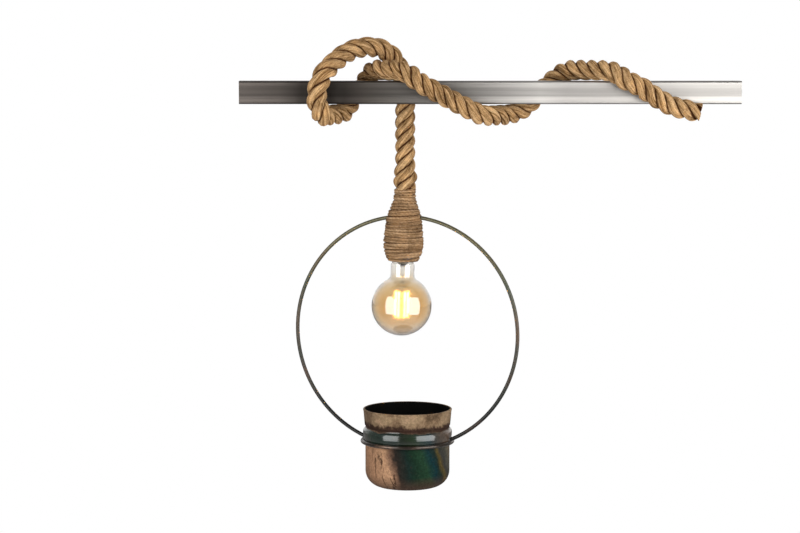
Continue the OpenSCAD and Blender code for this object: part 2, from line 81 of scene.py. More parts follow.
ROPE_D = rope_high.x - rope_low.x
ROPE_R = ROPE_D / 2
DROP_X = (rope_low.x + rope_high.x) / 2
DROP_Y = (rope_low.y + rope_high.y) / 2
SWINGS = {joint["name"]: joint for joint in frame["joints"]}
PIVOT_FORE = Vector(SWINGS["swing_fore_aft"]["pos_m"])
PIVOT_SIDE = Vector(SWINGS["swing_sideways"]["pos_m"])
HOLDER_AXIS = Vector(SWINGS["bulb_removal"]["axis"]).normalized()
BINDING_TOP = Vector((DROP_X, DROP_Y, -0.126))
POT_MID = (pot_low + pot_high) / 2
HOOP_MID = (hoop_low + hoop_high) / 2
POT_R = 56.4 * MM             # radius of the pot under its bead
BEAD_LOW = HOOP_MID.z         # the glossy bead runs from the hoop up to the groove
BEAD_HIGH = HOOP_MID.z + 18.5 * MM

# ---- camera --------------------------------------------------------------------------

CAMERA_FROM_RAIL_END = 0.2102
CAMERA_BACK = 3.151
CAMERA_OVER_RAIL = 0.0907
CAMERA_DOWN = math.radians(5.8)
CAMERA_LENS = 108


def make_camera():
    data = bpy.data.cameras.new("camera")
    data.lens = CAMERA_LENS
    data.sensor_width = 36
    data.clip_end = 50
    camera = bpy.data.objects.new("camera", data)
    bpy.context.scene.collection.objects.link(camera)
    camera.location = (rail_low.x + CAMERA_FROM_RAIL_END, -CAMERA_BACK, CAMERA_OVER_RAIL)
    camera.rotation_euler = (math.pi / 2 - CAMERA_DOWN, 0, 0)
    bpy.context.scene.camera = camera


make_camera()
bpy.context.scene.view_settings.view_transform = "Standard"

# ---- mesh helpers --------------------------------------------------------------------


def new_object(name, verts, faces, material, smooth=True, uv=None, painted_shade_factor=None):
    """A mesh piece in the row frame. uv and tint are one value for each vertex; tint sets a painted shade,
    darkest at 0.
    """
    mesh = bpy.data.meshes.new(name)
    mesh.from_pydata([tuple(v) for v in verts], [], [tuple(f) for f in faces])
    mesh.update()
    if uv is not None:
        layer = mesh.uv_layers.new(name="UVMap")
        index = np.zeros(len(mesh.loops), np.int32)
        mesh.loops.foreach_get("vertex_index", index)
        layer.data.foreach_set("uv", np.asarray(uv, np.float32)[index].ravel())
    if painted_shade_factor is not None:
        layer = mesh.attributes.new("painted_shade_factor", "FLOAT", "POINT")
        layer.data.foreach_set("value", np.asarray(painted_shade_factor, np.float32))
    mesh.polygons.foreach_set("use_smooth", [smooth] * len(mesh.polygons))
    mesh.materials.append(material)
    piece = bpy.data.objects.new(name, mesh)
    bpy.context.scene.collection.objects.link(piece)
    return piece


def grid_faces(rings, sides, first=0, closed_ends=True):
    """Quads between successive rings, and a flat cap at each end."""
    faces = []
    for i in range(rings - 1):
        for k in range(sides):
            a = first + i * sides + k
            b = first + i * sides + (k + 1) % sides
            faces.append((a, b, b + sides, a + sides))
    if closed_ends:
        faces.append(tuple(first + k for k in reversed(range(sides))))
        last = first + (rings - 1) * sides
        faces.append(tuple(last + k for k in range(sides)))
    return faces


def revolve(name, outline, centre, axis, material, segments=96):
    """A closed outline of (radius, height) turned round an axis through centre."""
    axis = Vector(axis).normalized()
    side = axis.orthogonal().normalized()
    other = axis.cross(side)
    verts, faces = [], []
    n = len(outline)
    for k in range(segments):
        a = 2 * math.pi * k / segments
        out = side * math.cos(a) + other * math.sin(a)
        verts += [Vector(centre) + out * r + axis * h for r, h in outline]
    for k in range(segments):
        for i in range(n):
            j = (i + 1) % n
            m = (k + 1) % segments
            faces.append((k * n + i, m * n + i, m * n + j, k * n + j))
    return new_object(name, verts, faces, material)


def smooth_path(points, step):
    """A smooth curve through the points, as evenly spaced points, and its length."""
    p = np.asarray(points, float)
    p = np.vstack([2 * p[0] - p[1], p, 2 * p[-1] - p[-2]])
    dense = []
    for i in range(1, len(p) - 2):
        for t in np.linspace(0, 1, 16, endpoint=False):
            dense.append(0.5 * (2 * p[i] + (p[i + 1] - p[i - 1]) * t
                                + (2 * p[i - 1] - 5 * p[i] + 4 * p[i + 1] - p[i + 2]) * t ** 2
                                + (3 * p[i] - p[i - 1] - 3 * p[i + 1] + p[i + 2]) * t ** 3))
    dense.append(p[-2])
    dense = np.array(dense)
    along = np.concatenate([[0], np.cumsum(np.linalg.norm(np.diff(dense, axis=0), axis=1))])
    count = int(round(along[-1] / step)) + 1
    at = np.linspace(0, along[-1], count)
    even = np.stack([np.interp(at, along, dense[:, k]) for k in range(3)], 1)
    return even, along[-1]


def path_frames(path):
    """Headings of a path, and two side vectors carried along it without twisting."""
    heading = np.gradient(path, axis=0)
    heading /= np.linalg.norm(heading, axis=1)[:, None]
    side = np.zeros_like(path)
    u = np.cross(heading[0], [0.3, 1, 0.2])
    for i, t in enumerate(heading):
        u = u - np.dot(u, t) * t
        u /= np.linalg.norm(u)
        side[i] = u
    return heading, side, np.cross(heading, side)


def wave(x, seed, size=1.0):
    """A smooth unsteady wave, from -1 to 1, the same every run."""
    r = random.Random(seed)
    total = 0
    for octave in (1.0, 2.1, 4.3):
        total = total + np.sin(x * octave / size + r.uniform(0, 2 * math.pi)) / octave
    return total / 1.7

# ---- material helpers ----------------------------------------------------------------


class Nodes:
    """Short names for building one material's node tree."""

    def __init__(self, name):
        self.material = bpy.data.materials.new(name)
        self.material.use_nodes = True
        self.tree = self.material.node_tree
        self.shader = self.tree.nodes["Principled BSDF"]

    def add(self, kind, **values):
        node = self.tree.nodes.new(kind)
        for key, value in values.items():
            if hasattr(node, key):
                setattr(node, key, value)
            else:
                node.inputs[key].default_value = value
        return node

    def link(self, out, into):
        self.tree.links.new(out, into)

    def set(self, **values):
        for key, value in values.items():
            self.shader.inputs[key.replace("_", " ")].default_value = value

    def coords(self, scale=(1, 1, 1), space="Object", move=(0, 0, 0)):
        source = self.add("ShaderNodeTexCoord")
        mapping = self.add("ShaderNodeMapping")
        mapping.inputs["Scale"].default_value = scale
        mapping.inputs["Location"].default_value = move
        self.link(source.outputs[space], mapping.inputs["Vector"])
        return mapping.outputs["Vector"]

    def noise(self, vector, scale, detail=4.0, rough=0.55, distortion=0.0):
        node = self.add("ShaderNodeTexNoise", Scale=scale, Detail=detail, Roughness=rough,
                        Distortion=distortion)
        self.link(vector, node.inputs["Vector"])
        return node.outputs["Fac"]

    def ramp(self, value, stops):
        node = self.add("ShaderNodeValToRGB")
        ramp = node.color_ramp
        while len(ramp.elements) < len(stops):
            ramp.elements.new(0.5)
        for element, (place, colour) in zip(ramp.elements, stops):
            element.position = place
            element.color = (*colour, 1) if len(colour) == 3 else colour
        self.link(value, node.inputs["Fac"])
        return node.outputs["Color"]

    def mix(self, amount, a, b, blend="MIX"):
        node = self.add("ShaderNodeMix", data_type="RGBA", blend_type=blend)
        for value, socket in ((amount, node.inputs[0]), (a, node.inputs[6]), (b, node.inputs[7])):
            if isinstance(value, bpy.types.NodeSocket):
                self.link(value, socket)
            elif isinstance(value, tuple):
                socket.default_value = (*value, 1)
            else:
                socket.default_value = value
        return node.outputs[2]

    def maths(self, operation, a, b=0.0, clamp=False):
        node = self.add("ShaderNodeMath", operation=operation, use_clamp=clamp)
        for value, socket in ((a, node.inputs[0]), (b, node.inputs[1])):
            if isinstance(value, bpy.types.NodeSocket):
                self.link(value, socket)
            else:
                socket.default_value = value
        return node.outputs[0]

    def spread(self, value, low, high, to_low=0.0, to_high=1.0):
        node = self.add("ShaderNodeMapRange")
        self.link(value, node.inputs["Value"])
        for key, number in (("From Min", low), ("From Max", high), ("To Min", to_low), ("To Max", to_high)):
            node.inputs[key].default_value = number
        return node.outputs["Result"]

    def inside_pot(self):
        """1 on the pot's inner faces, told by the way that they point."""
        source = self.add("ShaderNodeTexCoord")
        offset = self.add("ShaderNodeVectorMath", operation="SUBTRACT")
        self.link(source.outputs["Object"], offset.inputs[0])
        offset.inputs[1].default_value = POT_MID
        flat = self.add("ShaderNodeVectorMath", operation="MULTIPLY")
        self.link(offset.outputs[0], flat.inputs[0])
        flat.inputs[1].default_value = (1, 1, 0)
        outward = self.add("ShaderNodeVectorMath", operation="NORMALIZE")
        self.link(flat.outputs[0], outward.inputs[0])
        facing = self.add("ShaderNodeVectorMath", operation="DOT_PRODUCT")
        self.link(source.outputs["Normal"], facing.inputs[0])
        self.link(outward.outputs[0], facing.inputs[1])
        parts = self.add("ShaderNodeSeparateXYZ")
        self.link(source.outputs["Normal"], parts.inputs[0])
        height = self.add("ShaderNodeSeparateXYZ")
        self.link(source.outputs["Object"], height.inputs[0])
        turned = self.maths("SUBTRACT", facing.outputs["Value"], parts.outputs["Z"])
        inward = self.maths("LESS_THAN", turned, -0.5)
        below_rim = self.maths("LESS_THAN", height.outputs["Z"], pot_high.z - 0.4 * MM)
        return self.maths("MULTIPLY", inward, below_rim)

    def colour(self, socket):
        self.link(socket, self.shader.inputs["Base Color"])

    def rough(self, socket):
        self.link(socket, self.shader.inputs["Roughness"])

    def bump(self, height, distance, strength=1.0):
        node = self.add("ShaderNodeBump", Distance=distance, Strength=strength)
        self.link(height, node.inputs["Height"])
        self.link(node.outputs["Normal"], self.shader.inputs["Normal"])


# ---- materials -----------------------------------------------------------------------


def fibre_material(name, dark, mid, light, crevice_shade_colour):
    """Jute: streaks along the yarns, yarns of different tones, pale hairs, and painted shade that darkens its
    crevices.
    """
    m = Nodes(name)
    yarns = m.noise(m.coords((330, 14, 1), "UV"), 1.0, 2.0, 0.5)
    streaks = m.noise(m.coords((1100, 90, 1), "UV"), 1.0, 3.0, 0.65, 0.4)
    hairs = m.noise(m.coords((1700, 210, 1), "UV"), 1.0, 2.0, 0.7, 0.8)
    tone = m.maths("ADD", m.maths("MULTIPLY", yarns, 0.55), m.maths("MULTIPLY", streaks, 0.45))
    body = m.ramp(tone, [(0.40, dark), (0.50, mid), (0.60, light)])
    patches = m.noise(m.coords(), 55.0, 6.0, 0.72)
    body = m.mix(1.0, body, m.ramp(patches, [(0.34, (0.58, 0.54, 0.50)), (0.50, (1.0, 1.0, 1.0)),
                                             (0.66, (1.25, 1.18, 1.08))]), "MULTIPLY")
    speckle = m.noise(m.coords(), 900.0, 2.0, 0.7)
    body = m.mix(1.0, body, m.ramp(speckle, [(0.36, (0.72, 0.68, 0.64)), (0.50, (1.0, 1.0, 1.0)),
                                             (0.62, (1.22, 1.17, 1.10))]), "MULTIPLY")
    hair = m.spread(hairs, 0.60, 0.68)
    body = m.mix(m.maths("MULTIPLY", hair, 0.5), body, tuple(min(1.0, c * 1.3) for c in light))
    fleck = m.spread(m.noise(m.coords((800, 260, 1), "UV", (0.3, 0.2, 0)), 1.0, 2.0, 0.6), 0.66, 0.72)
    body = m.mix(m.maths("MULTIPLY", fleck, 0.55), body, tuple(c * 0.35 for c in dark))
    # Painted shade: the tint attribute, 0 deep between strands and 1 on their crowns, darkens the fibres
    # towards the crevice colour
    depth = m.add("ShaderNodeAttribute", attribute_name="painted_shade_factor").outputs["Fac"]
    shade = m.ramp(depth, [(0.0, crevice_shade_colour), (0.30, tuple(0.25 + 0.6 * c for c in crevice_shade_colour)),
                           (0.70, (0.84, 0.80, 0.76)), (1.0, (1.0, 1.0, 1.0))])
    m.colour(m.mix(1.0, body, shade, "MULTIPLY"))
    m.set(Roughness=0.95, Sheen_Weight=0.03, Sheen_Roughness=0.5, Specular_IOR_Level=0.02)
    m.bump(m.maths("ADD", streaks, m.maths("MULTIPLY", hairs, 0.8)), 0.0009, 1.0)
    return m.material


def rail_material():
    """Brushed steel: long fine lines, with a painted reflection that leaves it darker towards its left end
    and brightest past its middle, and painted bright bands along its face.
    """
    m = Nodes("brushed_steel")
    fine = m.noise(m.coords((6, 900, 900)), 1.0, 3.0, 0.6)
    broad = m.noise(m.coords((1.2, 140, 140)), 1.0, 2.0, 0.5)
    along = m.add("ShaderNodeSeparateXYZ")
    m.link(m.coords(), along.inputs["Vector"])
    length = rail_high.x - rail_low.x
    place = m.maths("DIVIDE", along.outputs["X"], length)
    # Painted reflection along the rail: dark towards its left end, brightest a little past its middle
    tone = m.ramp(place, [(0.0, (0.098, 0.085, 0.076)), (0.08, (0.076, 0.066, 0.059)),
                          (0.125, (0.040, 0.035, 0.031)), (0.21, (0.030, 0.026, 0.023)),
                          (0.25, (0.055, 0.048, 0.042)), (0.43, (0.160, 0.150, 0.138)),
                          (0.60, (0.375, 0.360, 0.340)), (0.65, (0.315, 0.300, 0.283)),
                          (0.72, (0.310, 0.295, 0.278)), (0.92, (0.335, 0.320, 0.300)),
                          (1.0, (0.325, 0.310, 0.292))])
    across = m.spread(along.outputs["Z"], rail_low.z, rail_high.z)
    # Painted reflections: bright bands along the rail, low on its face and at its top
    reflection_bands = m.ramp(across, [(0.03, (1.0, 1.0, 1.0)), (0.10, (1.15, 1.15, 1.15)), (0.20, (1.5, 1.5, 1.5)),
                            (0.30, (1.4, 1.4, 1.4)), (0.37, (0.96, 0.96, 0.96)), (0.66, (0.94, 0.94, 0.94)),
                            (0.86, (1.25, 1.25, 1.25)), (1.0, (1.5, 1.5, 1.5))])
    tone = m.mix(1.0, tone, reflection_bands, "MULTIPLY")
    lines = m.ramp(m.mix(0.5, fine, broad), [(0.3, (0.80, 0.80, 0.80)), (0.7, (1.15, 1.15, 1.15))])
    m.colour(m.mix(1.0, tone, lines, "MULTIPLY"))
    m.set(Metallic=1.0, Anisotropic=0.6)
    m.rough(m.spread(fine, 0.3, 0.7, 0.34, 0.5))
    m.bump(fine, 0.00012, 0.5)
    return m.material


def bronze_material():
    """Lacquered bronze rod: olive at the top, rust at the left, nearly black at the foot."""
    m = Nodes("aged_bronze")
    place = m.add("ShaderNodeSeparateXYZ")
    m.link(m.coords(), place.inputs["Vector"])
    ring_low, ring_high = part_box("planter_ring")
    height = m.spread(place.outputs["Z"], ring_low.z, ring_high.z)
    wobble = m.noise(m.coords(), 14.0, 4.0, 0.6)
    height = m.maths("ADD", height, m.maths("MULTIPLY", m.maths("SUBTRACT", wobble, 0.5), 0.22))
    base = m.ramp(height, [(0.0, (0.016, 0.013, 0.010)), (0.06, (0.004, 0.004, 0.0035)),
                           (0.14, (0.008, 0.009, 0.007)), (0.36, (0.030, 0.032, 0.023)),
                           (0.52, (0.075, 0.052, 0.034)), (0.68, (0.055, 0.062, 0.040)),
                           (0.86, (0.12, 0.105, 0.052)), (1.0, (0.10, 0.092, 0.048))])
    spots = m.noise(m.coords(), 120.0, 4.0, 0.65)
    rust = m.spread(m.noise(m.coords(), 22.0, 5.0, 0.65), 0.55, 0.72)
    base = m.mix(m.maths("MULTIPLY", rust, 0.45), base, (0.11, 0.050, 0.028))
    mottle = m.ramp(spots, [(0.3, (0.75, 0.75, 0.75)), (0.7, (1.15, 1.15, 1.15))])
    m.colour(m.mix(1.0, base, mottle, "MULTIPLY"))
    m.set(Metallic=0.6, Coat_Weight=0.25, Coat_Roughness=0.30)
    m.rough(m.spread(spots, 0.3, 0.7, 0.42, 0.58))
    m.bump(spots, 0.0002, 0.35)
    return m.material


def hoop_material():
    """Brown lacquered rod that keeps a copper gleam."""
    m = Nodes("hoop_bronze")
    tone = m.noise(m.coords(), 30.0, 5.0, 0.65)
    spots = m.noise(m.coords(), 160.0, 4.0, 0.65)
    base = m.ramp(tone, [(0.34, (0.018, 0.017, 0.012)), (0.50, (0.050, 0.034, 0.024)),
                         (0.64, (0.16, 0.095, 0.060))])
    m.colour(m.mix(1.0, base, m.ramp(spots, [(0.3, (0.7, 0.7, 0.7)), (0.7, (1.2, 1.2, 1.2))]), "MULTIPLY"))
    m.set(Metallic=0.85, Coat_Weight=0.6, Coat_Roughness=0.15)
    m.rough(m.spread(spots, 0.3, 0.7, 0.28, 0.42))
    m.bump(spots, 0.0002, 0.3)
    return m.material


def patina_material():
    """Flamed copper: bare at the left, green and blue across the front, dark bands, black inside."""
    m = Nodes("patinated_copper")
    at = m.coords((1, 1, 1), "Object", tuple(-c for c in POT_MID))
    place = m.add("ShaderNodeSeparateXYZ")
    m.link(at, place.inputs["Vector"])
    warp = m.maths("SUBTRACT", m.noise(at, 20.0, 4.0, 0.6), 0.5)
    fine = m.maths("SUBTRACT", m.noise(at, 90.0, 4.0, 0.65), 0.5)
    side = m.maths("ADD", m.maths("DIVIDE", place.outputs["X"], POT_R), m.maths("MULTIPLY", warp, 0.40))
    # The colours lean: their borders run down to the right
    side = m.maths("ADD", side, m.maths("MULTIPLY", place.outputs["Z"], 4.5))
    side = m.maths("ADD", side, 0.03)
    side = m.maths("ADD", side, m.maths("MULTIPLY", fine, 0.10))
    across = m.ramp(m.spread(side, -1.1, 1.1), [
        (0.0, (0.20, 0.115, 0.070)), (0.08, (0.36, 0.20, 0.115)), (0.26, (0.40, 0.235, 0.135)),
        (0.315, (0.17, 0.095, 0.060)), (0.355, (0.020, 0.016, 0.013)), (0.47, (0.008, 0.018, 0.015)),
        (0.56, (0.008, 0.024, 0.013)), (0.66, (0.012, 0.036, 0.018)), (0.74, (0.005, 0.024, 0.028)),
        (0.79, (0.010, 0.020, 0.016)), (0.83, (0.085, 0.062, 0.020)), (0.87, (0.036, 0.036, 0.032)),
        (0.93, (0.070, 0.066, 0.050)), (1.0, (0.16, 0.115, 0.075))])
    low = m.maths("ADD", place.outputs["Z"], m.maths("MULTIPLY", warp, 0.012))
    # The foot of the pot turns back to brown
    foot = m.spread(low, pot_low.z - POT_MID.z + 0.004, pot_low.z - POT_MID.z + 0.020, 0.75, 0.0)
    across = m.mix(foot, across, (0.085, 0.050, 0.034))
    # The bead, with its own greens
    bead_low = BEAD_LOW - POT_MID.z
    bead_high = BEAD_HIGH - POT_MID.z
    bead = m.ramp(m.spread(side, -1.1, 1.1), [
        (0.0, (0.05, 0.036, 0.025)), (0.16, (0.016, 0.030, 0.020)), (0.35, (0.004, 0.015, 0.011)),
        (0.50, (0.007, 0.013, 0.005)), (0.62, (0.010, 0.022, 0.008)), (0.80, (0.005, 0.018, 0.020)),
        (1.0, (0.12, 0.080, 0.055))])
    on_bead = m.maths("MULTIPLY", m.spread(place.outputs["Z"], bead_low - 0.002, bead_low + 0.002),
                      m.spread(low, bead_high + 0.001, bead_high - 0.001))
    across = m.mix(on_bead, across, bead)
    # The band over the bead: bare copper with a ragged dark foot
    upper = m.ramp(m.noise(at, 34.0, 5.0, 0.62), [
        (0.34, (0.07, 0.044, 0.024)), (0.46, (0.18, 0.116, 0.068)), (0.56, (0.26, 0.180, 0.105)),
        (0.70, (0.34, 0.225, 0.140))])
    left = m.spread(side, -1.0, -0.40, 0.75, 0.0)
    upper = m.mix(left, upper, (0.075, 0.050, 0.036))
    on_upper = m.spread(low, bead_high - 0.0005, bead_high + 0.001)
    across = m.mix(on_upper, across, upper)
    purple = m.mix(m.noise(at, 60.0, 3.0), (0.006, 0.005, 0.002), (0.055, 0.024, 0.020))
    ragged = m.maths("ADD", place.outputs["Z"], m.maths("MULTIPLY", m.maths("ADD", warp, fine), 0.018))
    dark_band = m.maths("MULTIPLY", m.spread(low, bead_high - 0.001, bead_high + 0.001),
                        m.spread(ragged, bead_high + 0.0105, bead_high + 0.0065))
    across = m.mix(m.maths("MULTIPLY", dark_band, 0.94), across, purple)
    # Dark cracks that run down the bare copper
    streaks = m.noise(m.coords((75, 75, 13), "Object", (3.1, 1.7, 0.4)), 1.0, 5.0, 0.72, 1.8)
    cracks = m.spread(streaks, 0.585, 0.625)
    bare = m.maths("MULTIPLY", m.spread(side, -0.20, -0.34),
                   m.spread(place.outputs["Z"], bead_low, bead_low - 0.002))
    cracks = m.maths("MULTIPLY", cracks, bare)
    across = m.mix(m.maths("MULTIPLY", cracks, 0.80), across, (0.030, 0.014, 0.010))
    freckles = m.spread(m.noise(at, 260.0, 3.0, 0.7), 0.58, 0.70)
    across = m.mix(m.maths("MULTIPLY", freckles, 0.28), across, (0.050, 0.026, 0.020))
    # Speckled wear over the greens
    wear = m.spread(m.noise(at, 330.0, 4.0, 0.75), 0.40, 0.66, 0.76, 1.28)
    across = m.mix(1.0, across, wear, "MULTIPLY")
    m.colour(m.mix(m.inside_pot(), across, (0.003, 0.003, 0.0025)))
    gloss = m.maths("MULTIPLY", on_bead, m.maths("SUBTRACT", 1.0, m.inside_pot()))
    m.link(gloss, m.shader.inputs["Coat Weight"])
    m.set(Metallic=0.35, Coat_Roughness=0.12, Coat_IOR=1.68, Specular_IOR_Level=0.05)
    m.rough(m.spread(gloss, 0.0, 1.0, 0.66, 0.30))
    m.bump(m.noise(at, 55.0, 3.0), 0.0003, 0.30)
    return m.material


def amber_glass():
    """Blown glass with a hazy amber coat inside, clear at the neck, and a painted pale reflection towards its
    edges.
    """
    m = Nodes("amber_glass")
    place = m.add("ShaderNodeSeparateXYZ")
    m.link(m.coords(), place.inputs["Vector"])
    cloud = m.maths("SUBTRACT", m.noise(m.coords(), 30.0, 3.0), 0.5)
    height = m.maths("ADD", m.spread(place.outputs["Z"], glass_low.z, glass_high.z),
                     m.maths("MULTIPLY", cloud, 0.10))
    body = m.ramp(height, [(0.0, (0.84, 0.76, 0.68)), (0.10, (0.82, 0.70, 0.55)), (0.22, (0.80, 0.60, 0.34)),
                           (0.50, (0.83, 0.64, 0.36)), (0.68, (0.88, 0.76, 0.55)), (0.82, (0.93, 0.90, 0.84)),
                           (1.0, (0.96, 0.95, 0.93))])
    # Painted reflection of the white surroundings: the glass turns pale towards its edges
    edge = m.add("ShaderNodeLayerWeight", Blend=0.5).outputs["Facing"]
    painted_edge_reflection = m.spread(edge, 0.28, 0.55)
    m.colour(m.mix(painted_edge_reflection, body, (0.95, 0.90, 0.86)))
    haze = m.spread(height, 0.66, 0.80, 0.25, 0.01)
    m.rough(haze)
    m.set(IOR=1.30, Transmission_Weight=1.0, Coat_Weight=1.0, Coat_Roughness=0.03, Coat_IOR=2.2)
    return m.material


def clear_glass():
    m = Nodes("clear_glass")
    smears = m.noise(m.coords(), 40.0, 2.0)
    m.colour(m.mix(smears, (0.96, 0.96, 0.94), (0.99, 0.99, 0.98)))
    m.set(Roughness=0.0, IOR=1.46, Transmission_Weight=1.0)
    return m.material


def light_material():
    m = Nodes("light_strip")
    grain = m.noise(m.coords(), 900.0, 2.0)
    m.link(m.ramp(grain, [(0.3, (1.0, 0.50, 0.15)), (0.7, (1.0, 0.62, 0.24))]),
           m.shader.inputs["Emission Color"])
    m.set(Base_Color=(1.0, 0.7, 0.35, 1), Emission_Strength=60.0, Roughness=0.4)
    return m.material


def plain_metal(name, light, dark, rough_low, rough_high, scale=400.0):
    m = Nodes(name)
    grain = m.noise(m.coords(), scale, 3.0)
    m.colour(m.ramp(grain, [(0.3, dark), (0.7, light)]))
    m.set(Metallic=1.0)
    m.rough(m.spread(grain, 0.3, 0.7, rough_low, rough_high))
    return m.material


def plain_matter(name, light, dark, rough, scale=300.0, bump=0.00008):
    m = Nodes(name)
    grain = m.noise(m.coords(), scale, 3.0)
    m.colour(m.ramp(grain, [(0.3, dark), (0.7, light)]))
    m.set(Roughness=rough)
    m.bump(grain, bump, 0.4)
    return m.material


# The last colour of each is the painted shade deep in its crevices
ROPE = fibre_material("jute_rope", (0.16, 0.086, 0.034), (0.395, 0.240, 0.110), (0.63, 0.425, 0.225),
                      (0.16, 0.080, 0.036))
TWINE = fibre_material("jute_twine", (0.14, 0.078, 0.036), (0.295, 0.182, 0.095), (0.48, 0.325, 0.190),
                       (0.22, 0.120, 0.065))
STEEL = rail_material()
BRONZE = bronze_material()
HOOP = hoop_material()
PATINA = patina_material()
AMBER = amber_glass()
CLEAR = clear_glass()
LIGHT = light_material()
BRASS = plain_metal("brass", (0.75, 0.58, 0.30), (0.60, 0.45, 0.22), 0.25, 0.38)
NICKEL = plain_metal("nickel", (0.72, 0.71, 0.69), (0.60, 0.59, 0.57), 0.15, 0.28)
WIRE_STEEL = plain_metal("satin_steel", (0.62, 0.60, 0.57), (0.48, 0.46, 0.44), 0.3, 0.45)
BLACK = plain_matter("black_bakelite", (0.022, 0.021, 0.020), (0.012, 0.012, 0.012), 0.32)
PLASTIC = plain_matter("black_plastic", (0.030, 0.030, 0.030), (0.018, 0.018, 0.018), 0.55)
PORCELAIN = plain_matter("porcelain", (0.85, 0.83, 0.77), (0.80, 0.78, 0.71), 0.2)
SHEATH = plain_matter("cable_sheath", (0.13, 0.085, 0.05), (0.08, 0.05, 0.03), 0.6)
BROWN = plain_matter("brown_wire", (0.20, 0.09, 0.04), (0.15, 0.06, 0.03), 0.4)
BLUE = plain_matter("blue_wire", (0.05, 0.15, 0.50), (0.04, 0.11, 0.40), 0.4)

CAD_LOOKS = {
    "support_rail": STEEL, "end_plug_left": PLASTIC, "end_plug_right": PLASTIC,
    "cable_on_rail": SHEATH, "cable_link": SHEATH, "cable_drop": SHEATH,
    "cable_grip": PLASTIC, "lock_nut": BRASS, "threaded_nipple": BRASS, "ring_bush": BRONZE,
    "planter_ring": BRONZE, "pot_hoop": HOOP, "holder_cap": BLACK, "holder_skirt": BLACK,
    "holder_insulator": PORCELAIN, "socket_shell": BRASS, "centre_contact": BRASS,
    "terminal_blocks": BRASS, "terminal_screws": WIRE_STEEL, "live_wire": BROWN,
    "neutral_wire": BLUE, "bulb_glass": AMBER, "bulb_stem": CLEAR, "bulb_leads": WIRE_STEEL,
    "bulb_filaments": LIGHT, "filament_hubs": WIRE_STEEL, "bulb_cap": NICKEL,
    "bulb_insulator": BLACK, "bulb_contact": NICKEL, "plant_pot": PATINA,
}
for node_name, look in CAD_LOOKS.items():
    mesh = NODES[node_name].data
    mesh.materials.clear()
    mesh.materials.append(look)

# ---- rope ----------------------------------------------------------------------------

# The route over the rail, in millimetres, from the top of the drop to the cut end
ROPE_ROUTE = [
    (217, 29, -18.2), (217, 29, -2), (213, 29, 15), (209, 29, 31), (201, 29, 45),
    (186, 25, 56), (167, 16, 59), (148, 6, 55), (131, -8, 45), (117, -20, 32),
    (111, -26, 25), (107, -29, 17), (103, -30, 4), (102, -30, -9), (104, -29, -17),
    (107, -26, -25), (110, -18, -30), (115, -6, -30), (128, 12, -29), (134, 20, -28),
    (139, 26, -24), (143, 29, -17), (148, 30, -8), (155, 30, 1), (162, 30, 9),
    (167, 29, 17), (172, 25, 25), (178, 17, 29), (184, 9, 29), (190, 2, 29),
    (198, -7, 29), (208, -15, 29), (216, -22, 27), (224, -27, 23), (231, -30, 17),
    (238, -30, 12), (249, -30, 6), (271, -30, -6), (292, -30, -17), (304, -29, -23),
    (314, -25, -28), (325, -15, -30), (338, 0, -30), (351, 13, -30), (360, 20, -28),
    (368, 25, -25), (377, 29, -19), (386, 30, -10), (396, 30, 0), (406, 30, 9),
    (415, 29, 17), (424, 26, 24), (432, 20, 28), (443, 10, 29), (456, 0, 29),
    (470, -10, 29), (484, -20, 28), (495, -27, 23), (504, -30, 16), (522, -30, 8),
    (543, -30, -6), (564, -30, -17), (584, -30, -22), (600, -30, -26)]
ROPE_STEP = 1.5 * MM
ROPE_LAYS = ((0.0, 48), (0.12, 48), (0.18, 54), (0.30, 57), (0.42, 49), (1.1, 49))  # (m along, mm)
STRANDS = 3
STRAND_SIDES = 40
YARNS = 10            # yarns seen round one strand
YARN_DEPTH = 0.055    # depth of the groove between yarns, of a strand's radius
YARN_LAY = 55 * MM
STRAND_SHARE = 0.54   # of the rope's radius
BULGE = 0.21          # how much the strands swell just above the binding
BULGE_REACH = 11 * MM
SEAM_RAIL = 4 * MM    # height of the seam behind the rail
SEAM_LINK = (PIVOT_FORE.z + PIVOT_SIDE.z) / 2
DROP_END = BINDING_TOP.z - 12 * MM


def rope_centreline():
    """The whole rope, from inside the binding up the drop and over the rail."""
    levels = np.arange(DROP_END, ROPE_ROUTE[0][2] * MM, 10 * MM)
    drop = [(DROP_X, DROP_Y, z) for z in levels[:-1]]
    route = [(x * MM, y * MM, z * MM) for x, y, z in ROPE_ROUTE]
    path, _ = smooth_path(drop + route, ROPE_STEP)
    return path


ROPE_PATH = rope_centreline()
ROPE_FRAMES = path_frames(ROPE_PATH)


def lay_angle(s):
    """Turn of the strands round the rope's axis at each place along it."""
    lay = np.interp(s, [at for at, _ in ROPE_LAYS], [mm * MM for _, mm in ROPE_LAYS])
    return np.cumsum(2 * math.pi * ROPE_STEP / lay) + 0.22 * wave(s / 0.06, 5)


